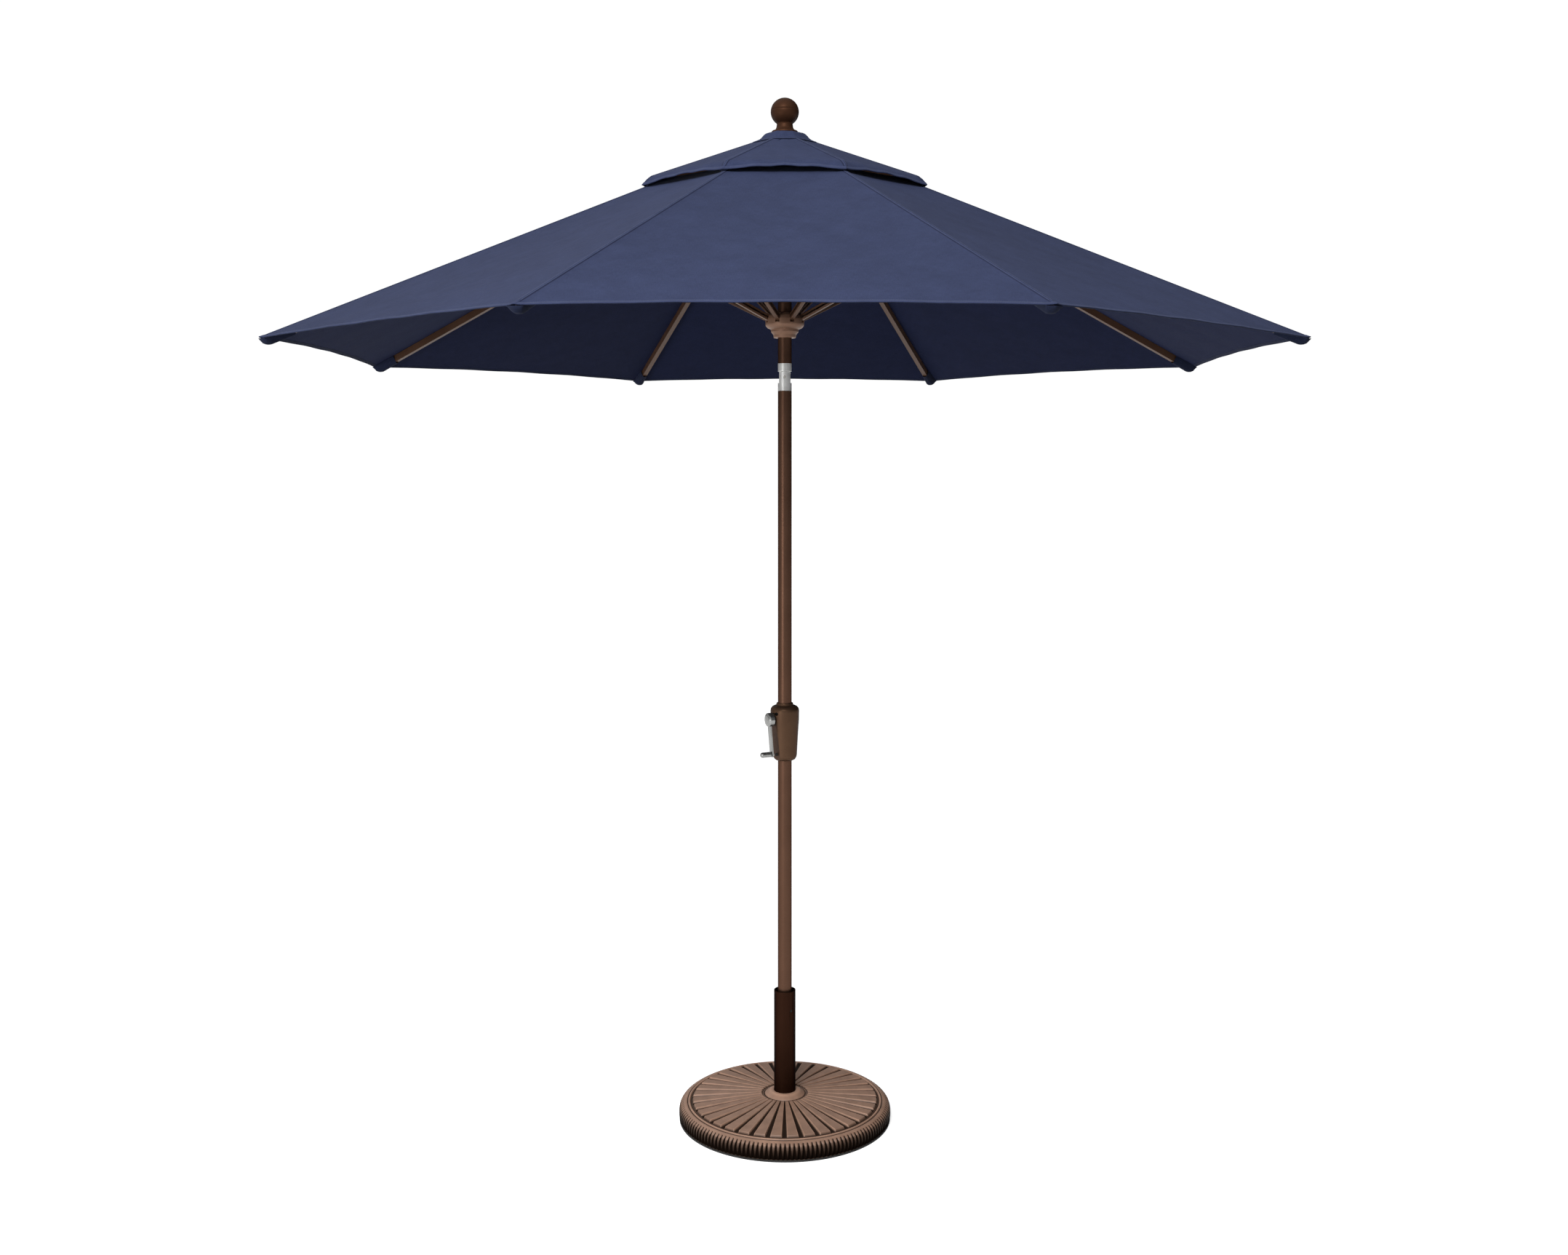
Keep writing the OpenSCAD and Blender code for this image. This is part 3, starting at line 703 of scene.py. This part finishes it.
for i, rib in enumerate(rib_frames, start=1):
    for layer, tag in ((main, "cover"), (vent, "vent")):
        tier = layer.tier(rib)
        fs = 1 - (1 - np.linspace(0, 1, layer.rows)) ** 1.4
        half = [x for x in PS if x * MM < layer.strip_p - 1e-6] + [layer.strip_p / MM]
        ps = np.array([-x for x in half[:0:-1]] + half) * MM
        top, uv = strip_grid(rib, layer, SHEET_T, fs, ps)
        low, uv = strip_grid(rib, layer, 0.0, fs, ps)
        # Columns along the felled seam's step take the crease cloth, in painted shade
        creases = [c for c in range(len(ps) - 1) if 4.5 * MM < abs(ps[c] + ps[c + 1]) / 2 < 7.5 * MM]
        strip = closed_sheet(f"{tag}_seam_{i}", top, low, uv, CLOTH, creases)
        link(strip, f"rib_{i}")
        # Hem across the corner
        edge_ps = ps[::-1]
        low_edge = np.array([strip_point(rib, layer, 1.0, p, 0.0)[0] for p in edge_ps])
        back_edge = np.array([strip_point(rib, layer, 0.985, p, 0.0)[0] for p in edge_ps])
        inward = back_edge - low_edge
        inward /= np.linalg.norm(inward, axis=1)[:, None]
        ups = [tier.up(1 if p >= 0 else -1) if abs(p) > 6 * MM else tier.b for p in edge_ps]
        rings, hem_uv = hem_rings(low_edge, inward, ups, layer.hem)
        corner = loft(f"{tag}_corner_hem_{i}", rings, [highlit_cloth_hem], uv=hem_uv)
        link(corner, f"rib_{i}")
        # Two rows of stitching along the felled seam
        for row, p in enumerate((-3.4 * MM, 3.4 * MM)):
            path = [strip_point(rib, layer, f, p, SHEET_T)[0] for f in np.linspace(0.01, 0.985, 40)]
            line = stitches(f"{tag}_seam_thread_{i}_{row + 1}", path, [tier.b] * 40, [tier.t] * 40,
                            [thread_navy])
            link(line, f"rib_{i}")
        for side, word in ((-1, "left"), (1, "right")):
            vs = np.linspace(0, 1, layer.cols)
            top, uv = wing_grid(rib, side, layer, SHEET_T, fs, vs)
            low, uv = wing_grid(rib, side, layer, 0.0, fs, vs)
            body = f"cover_{i}_{word}"
            wing = closed_sheet(f"{tag}_panel_{i}_{word}", top, low, uv, CLOTH)
            link(wing, body)
            if layer is main:
                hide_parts(body)
            gather(wing, rib, side)
            edge = low[-1]
            inward = low[-2] - low[-1]
            inward /= np.linalg.norm(inward, axis=1)[:, None]
            up = tier.up(side)
            rings, hem_uv = hem_rings(edge, inward, [up] * len(vs), layer.hem)
            hem = loft(f"{tag}_hem_{i}_{word}", rings, [highlit_cloth_hem], uv=hem_uv)
            link(hem, body)
            gather(hem, rib, side)
            for row, into in enumerate((2.6, layer.hem / MM - 2.0)):
                path = [edge[k] + inward[k] * into * MM + up * 1.62 * MM for k in range(len(vs))]
                line = stitches(f"{tag}_hem_thread_{i}_{word}_{row + 1}", path, [up] * len(vs),
                                [tier.e] * len(vs), [thread_navy])
                link(line, body)
                gather(line, rib, side)
            deep = layer.far - layer.near

# ---------------------------------------------------------------- pockets, ties and crown

for i, rib in enumerate(rib_frames, start=1):
    # Pocket sewn under the corner, closed round the rib's end
    fs = np.concatenate([np.linspace(0, 0.7, 6), 1 - 0.3 * np.cos(np.linspace(0.1, 1, 8) * math.pi / 2)])
    xs = np.linspace(-1, 1, 13)
    outer = np.zeros((len(fs), len(xs), 3))
    inner = np.zeros_like(outer)
    uv = np.zeros((len(fs), len(xs), 2))
    for r, f in enumerate(fs):
        s = main.far / math.cos(main.eta) + (3 - 76 * (1 - f)) * MM
        wide = (11.5 + 6.5 * f) * MM
        nose = math.sqrt(max(0.0, 1 - max(0.0, (f - 0.7) / 0.3) ** 2))
        for c, x in enumerate(xs):
            drop = (0.4 + (1 - abs(x) ** 3.2) * 21.5 * nose) * MM
            tuck = abs(x * wide) * math.tan(rib.psi)
            pt = rib.main.point(s - abs(x * wide) * math.tan(main.eta), 0.0, 0.0, 1) + rib.t * x * wide
            outer[r, c] = pt - rib.b * (drop + tuck + SHEET_T)
            inner[r, c] = pt - rib.b * (drop + tuck)
            uv[r, c] = (x * wide, s)
    pocket = closed_sheet(f"rib_pocket_{i}", outer, inner, uv, CLOTH)
    link(pocket, f"rib_{i}")
    # Short tie that holds the vent cap's corner down to the cover
    start = rib.vent.point(vent.far / math.cos(vent.eta) - 20 * MM, 0.0, -7.5 * MM, 1)
    reach = float((start - rib.main.peak) @ rib.e)
    end = rib.main.point(reach + 11 * MM, 0.0, 3.2 * MM, 1)
    top = np.zeros((9, 5, 3))
    low = np.zeros((9, 5, 3))
    uv = np.zeros((9, 5, 2))
    for r, f in enumerate(np.linspace(0, 1, 9)):
        ease = f * f * (3 - 2 * f)
        middle = start + rib.e * float((end - start) @ rib.e) * f
        middle = middle + rib.b * float((end - start) @ rib.b) * ease
        for c, x in enumerate(np.linspace(-8, 8, 5)):
            pt = middle + rib.t * x * MM - rib.b * abs(x) * MM * math.tan(rib.psi)
            top[r, c] = pt + rib.b * 0.7 * MM
            low[r, c] = pt
            uv[r, c] = (x * MM, f * 0.014)
    tie = closed_sheet(f"vent_tie_{i}", top, low, uv, [highlit_cloth_hem, highlit_cloth_hem])
    link(tie, f"rib_{i}")

# Crown: cloth gathered over the hub, its pleats running down to the vent cap's seams
hub_z = first.o[2]


def vent_height(r, a):
    """Height of the vent cap's face at radius r and angle a."""
    rib = first
    sector = math.pi / RIBS
    local = (a - math.atan2(rib.o[1], rib.o[0])) % (2 * sector)
    local = min(local, 2 * sector - local)
    plane_r = r * math.cos(sector - local) / math.cos(sector)
    return hub_z + VENT_RISE + SHEET_T + 1.7 * MM - plane_r * math.tan(VENT_SLOPE)


crown_steps = 144
crown_rs = [4.6, 10, 20, 29, 38, 44, 48.5, 52, 54.8, 57.4, 60.2, 63.6, 67.5, 72, 76.5, 81, 85]
crown_zs = [25.2, 25.2, 25.2, 25.2, 24.9, 24.1, 22.7, 20.9, 18.8, 16.2, 12.6, 8.0, 3.0,
            -3.0, -9.0, -15.0, -20.0]
top = np.zeros((crown_steps + 1, len(crown_rs), 3))
low = np.zeros_like(top)
uv = np.zeros((crown_steps + 1, len(crown_rs), 2))
for k in range(crown_steps + 1):
    a = 2 * math.pi * k / crown_steps
    rib_phase = math.cos(RIBS * (a - math.atan2(first.o[1], first.o[0])))
    for c, (r, z) in enumerate(zip(crown_rs, crown_zs)):
        share = max(0.0, min(1.0, (r - 30) / 30))
        wrinkle = math.sin(5 * a + 0.4) * math.sin(9 * a + 2.0) + 0.7 * math.sin(14 * a + r * 0.09)
        pleat = 1.1 * share * wrinkle * min(1.0, (85 - r) / 12)
        ridge = 1.4 * share * max(0.0, rib_phase) ** 6
        radius = r * (1 + 0.02 * share * rib_phase)
        height = hub_z + (z + pleat + ridge) * MM
        resting = vent_height(radius * MM, a) + 0.2 * MM
        height = (height + resting + math.hypot(height - resting, 3.4 * MM)) / 2
        x, y = radius * MM * math.cos(a), radius * MM * math.sin(a)
        top[k, c] = (x, y, height + SHEET_T)
        low[k, c] = (x, y, height)
        uv[k, c] = (a * 0.05, r * MM)
crown = closed_sheet("crown_cap", top, low, uv, CLOTH)
weld_axis(crown)
link(crown, "top")
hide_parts("crown_cloth")

# ---------------------------------------------------------------- finial

top_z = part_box("finial")[1][2] / MM
ball_r = 36.0
ball_z = top_z - ball_r
seat = (hub_z + 26.2 * MM) / MM
profile = [(0.0, seat), (32.6, seat), (34.0, seat + 0.8), (34.2, seat + 3.0), (33.2, seat + 6.0)]
for step in range(0, 10):
    t = math.radians(step * 10)
    profile.append((20.8 + 12.0 * (1 - math.sin(t)), seat + 6.4 + 14.7 * (1 - math.cos(t))))
profile += [(20.3, seat + 23.2), (20.6, seat + 25.4)]
start = math.asin(21.2 / ball_r)
for step in range(0, 25):
    a = -math.pi / 2 + start + (math.pi - start) * step / 24
    r, z = ball_r * math.cos(a), ball_z + ball_r * math.sin(a)
    if abs(a - math.radians(6)) < math.radians(4):
        profile += [(r - 0.02, z - 0.5), (r - 0.6, z), (r - 0.02, z + 0.5)]
        continue
    profile.append((max(0.0, r), z))
finial_paint = painted("finial_paint", linear(62, 40, 28), 0.46, 0.35, 460.0, 0.00003, 0.05,
                       0.1, 0.15, EDGE_TINT)
finial = lathe("finial_turned", profile, [finial_paint], 112, sharp=60.0)
link(finial, "top")
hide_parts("finial")

# ---------------------------------------------------------------- base

base_low, base_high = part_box("base_plate")
base_r = base_high[0] / MM
foot = base_low[2] / MM
WEDGES = 36
KNURLS = 150
STEPS = 900
FIELD_IN, FIELD_OUT, FIELD_Z0, FIELD_Z1 = 55.0, 236.0, 44.0, 58.0
wall = 11.0


def field(r):
    return FIELD_Z1 + (FIELD_Z0 - FIELD_Z1) * (r - FIELD_IN) / (FIELD_OUT - FIELD_IN)


# Outline of the casting's face: radius, height, its painted light and shade from painted highlight (1) to painted
# shade (-1), and what shapes it:
# 0 plain, 1 the wedges, 2 the knurled rim, whose painted shade is worked out below
outline = [(27.6, foot + 8, 0.0, 0), (27.6, 67.2, 0.0, 0), (28.4, 68.0, 0.3, 0), (34.5, 68.0, 0.6, 0),
           (36.5, 67.3, 0.8, 0), (43.0, 63.6, 0.2, 0), (48.8, 60.2, 0.3, 0), (50.4, 58.9, 0.1, 0),
           (51.0, 57.6, -0.9, 0), (52.5, field(FIELD_IN) - 0.6, -0.9, 0), (55.5, field(55.5), -0.3, 0)]
outline += [(r, field(r), 0.0, 1) for r in (57.0, 58.4, 60.0, 66.0)]
outline += [(float(r), field(r), 0.0, 1) for r in range(78, 226, 14)]
outline += [(r, field(r), 0.0, 1) for r in (229.0, 232.0, 233.6, 235.4)]
outline += [(236.6, 43.6, -0.6, 0), (238.2, 43.0, -1.0, 0), (239.4, 43.2, -0.7, 0), (240.4, 44.6, 0.1, 0),
            (241.6, 45.7, 0.7, 0), (243.0, 46.0, 0.9, 0), (244.4, 45.6, 0.6, 0), (245.4, 44.5, 0.0, 0),
            (246.2, 43.1, -0.8, 0), (247.4, 42.9, -1.0, 0), (248.6, 43.6, 0.0, 0), (251.0, 43.3, 0.2, 0),
            (254.0, 42.3, 0.3, 0)]
outline += [(r, z, 0.0, 2) for r, z in (
    (256.4, 41.3), (259.0, 40.0), (261.6, 38.4), (263.6, 36.6), (265.4, 34.2), (266.9, 31.2),
    (267.9, 27.6), (268.4, 24.0), (268.5, 18.0), (268.4, 12.5), (267.9, 8.5), (266.9, 6.2))]
outline += [(265.6, 4.9, -0.4, 0), (263.5, foot, -0.4, 0)]
under = [(base_r - wall, foot), (base_r - wall, 21.0), (239.0, FIELD_Z0 - wall),
         (59.0, FIELD_Z1 - wall), (59.0, foot + 8)]
KNURL = [0.0, 0.0, 0.2, 1.0, 1.0, 0.2]
# The knurled rim's painted shade: darker towards its bottom, where its contact shadow falls
RIM_HEIGHTS = (12.0, 26.0, 34.0, 37.0)
RIM_PAINTED_SHADE = (-1.0, -0.82, -0.45, 0.1)
verts, painted_shading = [], []
ring_size = len(outline) + len(under)
for k in range(STEPS):
    a = 2 * math.pi * k / STEPS
    pitch = STEPS // WEDGES
    place = abs((k % pitch) - (pitch - 1) / 2.0)
    raised = min(1.0, max(0.0, 9.2 - place))
    highlight_edge = 1.0 if 7.4 < place < 8.6 else 0.0
    groove = KNURL[k % (STEPS // KNURLS)]
    for r, z, painted_tone, kind in outline:
        if kind == 1:
            reach = min(1.0, max(0.0, (r - 57.2) / 2.4)) * min(1.0, max(0.0, (235.0 - r) / 2.8))
            height = (3.4 + 2.2 * (r - FIELD_IN) / (FIELD_OUT - FIELD_IN)) * reach * raised
            verts.append((r * math.cos(a), r * math.sin(a), z + height))
            # Painted highlight along the wedges' side edges, painted shade in the gaps between them
            painted_tone = raised * reach * (0.05 + 1.1 * highlight_edge) - (1 - raised * reach) * 0.95
        elif kind == 2:
            deep = 3.2 * groove * min(1.0, max(0.0, (r - 256.6) / 4.0))
            verts.append(((r - deep) * math.cos(a), (r - deep) * math.sin(a), z))
            # Painted shade, darker towards the rim's bottom and in its knurl grooves
            painted_tone = np.interp(z, RIM_HEIGHTS, RIM_PAINTED_SHADE) - groove * min(1.0, deep)
        else:
            verts.append((r * math.cos(a), r * math.sin(a), z))
        painted_shading.append(painted_tone)
    # The plate's underside takes painted shade
    for r, z in under:
        verts.append((r * math.cos(a), r * math.sin(a), z))
        painted_shading.append(-0.4)
faces = []
for k in range(STEPS):
    j = (k + 1) % STEPS
    for c in range(ring_size):
        d = (c + 1) % ring_size
        faces.append((k * ring_size + c, k * ring_size + d, j * ring_size + d, j * ring_size + c))
# Eight stiffening webs under the plate, in painted shade like the underside
for w in range(8):
    a = 2 * math.pi * w / 8
    ca, sa = math.cos(a), math.sin(a)
    section = [(58.0, 12.0), (257.8, 8.0), (257.8, 20.5), (239.5, 33.2), (58.0, 47.2)]
    base_index = len(verts)
    for y in (-3.0, 3.0):
        for r, z in section:
            verts.append((r * ca - y * sa, r * sa + y * ca, z + 0.2))
            painted_shading.append(-0.4)
    n = len(section)
    faces.append(tuple(base_index + x for x in range(n)))
    faces.append(tuple(base_index + n + x for x in range(n))[::-1])
    for x in range(n):
        y = (x + 1) % n
        faces.append((base_index + x, base_index + n + x, base_index + n + y, base_index + y))
base = mesh_object("base_casting", np.array(verts) * MM, faces, [finish["cast_base"]], None, 38.0)
# The painted light and shade goes to the casting's shader as a point attribute
attribute = base.data.attributes.new("painted_shading", "FLOAT", "POINT")
attribute.data.foreach_set("value", np.array(painted_shading, np.float32))
link(base, "base")
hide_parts("base_plate")

# ---------------------------------------------------------------- rivets on the rib brackets

for i, rib in enumerate(rib_frames, start=1):
    at = np.array(joint[f"strut_{i}_turn"]["pos_m"], float)
    for side, word in ((-1, "left"), (1, "right")):
        rings = []
        out = rib.t * side
        for r, h in ((5.2, 0.0), (5.2, 0.5), (4.6, 1.3), (3.2, 2.0), (1.4, 2.3)):
            ring = []
            for k in range(20):
                a = 2 * math.pi * k / 20
                ring.append(at + out * (7.95 + h) * MM + (rib.e * math.cos(a) + rib.b * math.sin(a)) * r * MM)
            rings.append(ring)
        rivet = loft(f"bracket_rivet_{i}_{word}", rings, [finish["zinc_steel"]], sharp=50.0)
        link(rivet, f"rib_{i}")

# ---------------------------------------------------------------- studio

floor_mesh = bpy.data.meshes.new("studio_floor")
floor_mesh.from_pydata([(-60, -60, 0), (60, -60, 0), (60, 60, 0), (-60, 60, 0)], [], [(0, 1, 2, 3)])
floor = bpy.data.objects.new("studio_floor", floor_mesh)
scene.collection.objects.link(floor)
floor_shader = Shader("studio_floor")
floor_shader.set(Base_Color=(0.82, 0.82, 0.82, 1.0), Roughness=0.9, Specular_IOR_Level=0.1,
                 Emission_Color=(1.0, 1.0, 1.0, 1.0), Emission_Strength=0.62)
floor_mesh.materials.append(floor_shader.material)
floor.visible_diffuse = False

world = bpy.data.worlds.new("studio")
scene.world = world
world.use_nodes = True
tree = world.node_tree
tree.nodes.clear()
direction = tree.nodes.new("ShaderNodeTexCoord").outputs["Generated"]

CAMERA_WHITE = 1.02
BRIGHT_SIDE = (-0.45, -0.45, 0.77)
BRIGHT_GAIN, BRIGHT_LEVEL = 0.36, 0.58
DARK_SIDE = (0.9, 0.35, -0.25)
DARK_LEVEL = 0.03
SKY_LOW, SKY_HIGH = 0.6, 1.15


def sky_dot(towards):
    """How far a direction in the sky points towards another."""
    node = tree.nodes.new("ShaderNodeVectorMath")
    node.operation = "DOT_PRODUCT"
    node.inputs[1].default_value = towards
    tree.links.new(direction, node.inputs[0])
    return node.outputs["Value"]


def sky_math(operation, *values):
    node = tree.nodes.new("ShaderNodeMath")
    node.operation = operation
    for socket, value in zip(node.inputs, values):
        if isinstance(value, float):
            socket.default_value = value
        else:
            tree.links.new(value, socket)
    return node.outputs[0]


def sky_step(value, start, stop, low, high):
    """A smooth change from low to high as the value goes from start to stop."""
    node = tree.nodes.new("ShaderNodeMapRange")
    node.interpolation_type = "SMOOTHSTEP"
    for label, number in (("From Min", start), ("From Max", stop), ("To Min", low), ("To Max", high)):
        node.inputs[label].default_value = number
    tree.links.new(value, node.inputs[0])
    return node.outputs[0]


def background(strength):
    node = tree.nodes.new("ShaderNodeBackground")
    if isinstance(strength, float):
        node.inputs[1].default_value = strength
    else:
        tree.links.new(strength, node.inputs[1])
    return node


# The sky lights the object from the left and above, with a dark flag on the right. The camera sees white
split = tree.nodes.new("ShaderNodeSeparateXYZ")
tree.links.new(direction, split.inputs[0])
bright_sky = sky_math("MULTIPLY_ADD", sky_dot(BRIGHT_SIDE), BRIGHT_GAIN, BRIGHT_LEVEL)
flagged = sky_math("MULTIPLY", bright_sky, sky_step(sky_dot(DARK_SIDE), 0.0, 0.55, 1.0, DARK_LEVEL))
level = sky_step(split.outputs[2], -0.25, 0.75, SKY_LOW, SKY_HIGH)
light = background(sky_math("MULTIPLY", flagged, level))
white = background(CAMERA_WHITE)
white.inputs[0].default_value = (1.0, 1.0, 1.0, 1.0)
choose = tree.nodes.new("ShaderNodeMixShader")
path = tree.nodes.new("ShaderNodeLightPath")
output = tree.nodes.new("ShaderNodeOutputWorld")
tree.links.new(path.outputs["Is Camera Ray"], choose.inputs[0])
tree.links.new(light.outputs[0], choose.inputs[1])
tree.links.new(white.outputs[0], choose.inputs[2])
tree.links.new(choose.outputs[0], output.inputs[0])

KEY_WATTS = 300.0
FRONT_WATTS = 34.0


def area_light(name, place, aim, size, power):
    """A round lamp at a place, turned to its aim."""
    data = bpy.data.lights.new(name, "AREA")
    data.shape = "DISK"
    data.size = size
    data.energy = power
    lamp = bpy.data.objects.new(name, data)
    scene.collection.objects.link(lamp)
    lamp.location = place
    lamp.rotation_mode = "QUATERNION"
    lamp.rotation_quaternion = (Vector(aim) - Vector(place)).to_track_quat("-Z", "Y")


area_light("key", (-1.0, -4.7, 5.4), (0.0, 0.0, 1.2), 2.4, KEY_WATTS)
area_light("front", (-2.7, -3.6, 1.1), (0.0, 0.0, 1.3), 1.2, FRONT_WATTS)

scene.view_settings.view_transform = "Standard"
